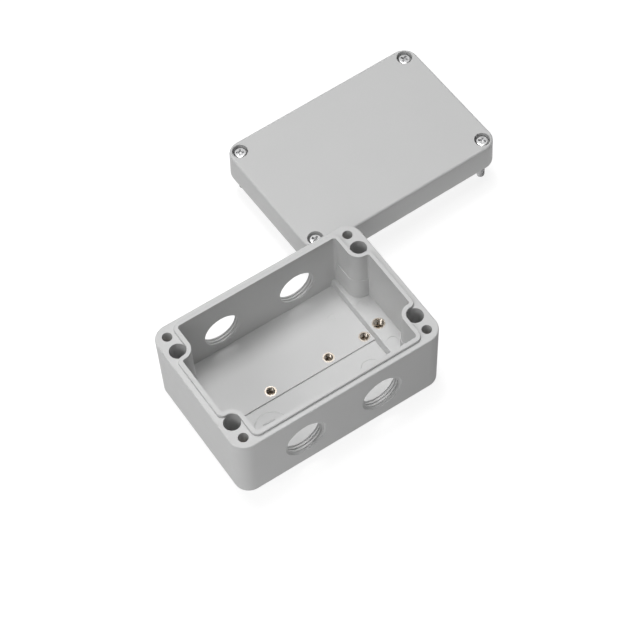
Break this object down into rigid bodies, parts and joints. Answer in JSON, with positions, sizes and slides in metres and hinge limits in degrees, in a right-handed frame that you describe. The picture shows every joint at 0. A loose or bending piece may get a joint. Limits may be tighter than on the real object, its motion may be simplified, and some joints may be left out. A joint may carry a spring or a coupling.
{
  "type": "terminal box",
  "caption": "Shallow rectangular moulded terminal box with tapped cable entries in its long walls, floor inserts, and a gasketed lid stood beside it on its captive screws.",
  "frame": {"origin": "centre of the base's rear face, which is also the centre of the wall fixing hole pattern", "axes": "+Z out of the wall, towards the open mouth of the base; +X along the long side, towards the end with the raised pad; +Y towards the long side where the lid stands"},
  "size_m": [0.1986, 0.154, 0.0415],
  "materials": {
    "housing": "light grey moulded glass-filled polyester, fine matt grain",
    "gasket": "dark foamed rubber strip",
    "brass": "turned brass",
    "screw_steel": "bright stainless steel",
    "ring_nylon": "black nylon"
  },
  "bodies": {
    "box": {"base_housing": "housing", "lid": "housing", "lid_gasket": "gasket", "cover_insert_1": "brass", "cover_insert_2": "brass", "cover_insert_3": "brass", "cover_insert_4": "brass", "rail_insert_1": "brass", "rail_insert_2": "brass", "rail_insert_3": "brass", "earth_insert": "brass"},
    "screw_1": {"lid_screw_1": "screw_steel", "screw_ring_1": "ring_nylon"},
    "screw_2": {"lid_screw_2": "screw_steel", "screw_ring_2": "ring_nylon"},
    "screw_3": {"lid_screw_3": "screw_steel", "screw_ring_3": "ring_nylon"},
    "screw_4": {"lid_screw_4": "screw_steel", "screw_ring_4": "ring_nylon"}
  },
  "joints": [
    {"name": "screw_1_turn", "type": "hinge", "parent": "box", "child": "screw_1", "pos_m": [0.03995, 0.04544, 0.025], "axis": [0, 0, 1], "continuous": true},
    {"name": "screw_2_turn", "type": "hinge", "parent": "box", "child": "screw_2", "pos_m": [0.13743, 0.04757, 0.025], "axis": [0, 0, 1], "continuous": true},
    {"name": "screw_3_turn", "type": "hinge", "parent": "box", "child": "screw_3", "pos_m": [0.03857, 0.10843, 0.025], "axis": [0, 0, 1], "continuous": true},
    {"name": "screw_4_turn", "type": "hinge", "parent": "box", "child": "screw_4", "pos_m": [0.13605, 0.11056, 0.025], "axis": [0, 0, 1], "continuous": true}
  ]
}
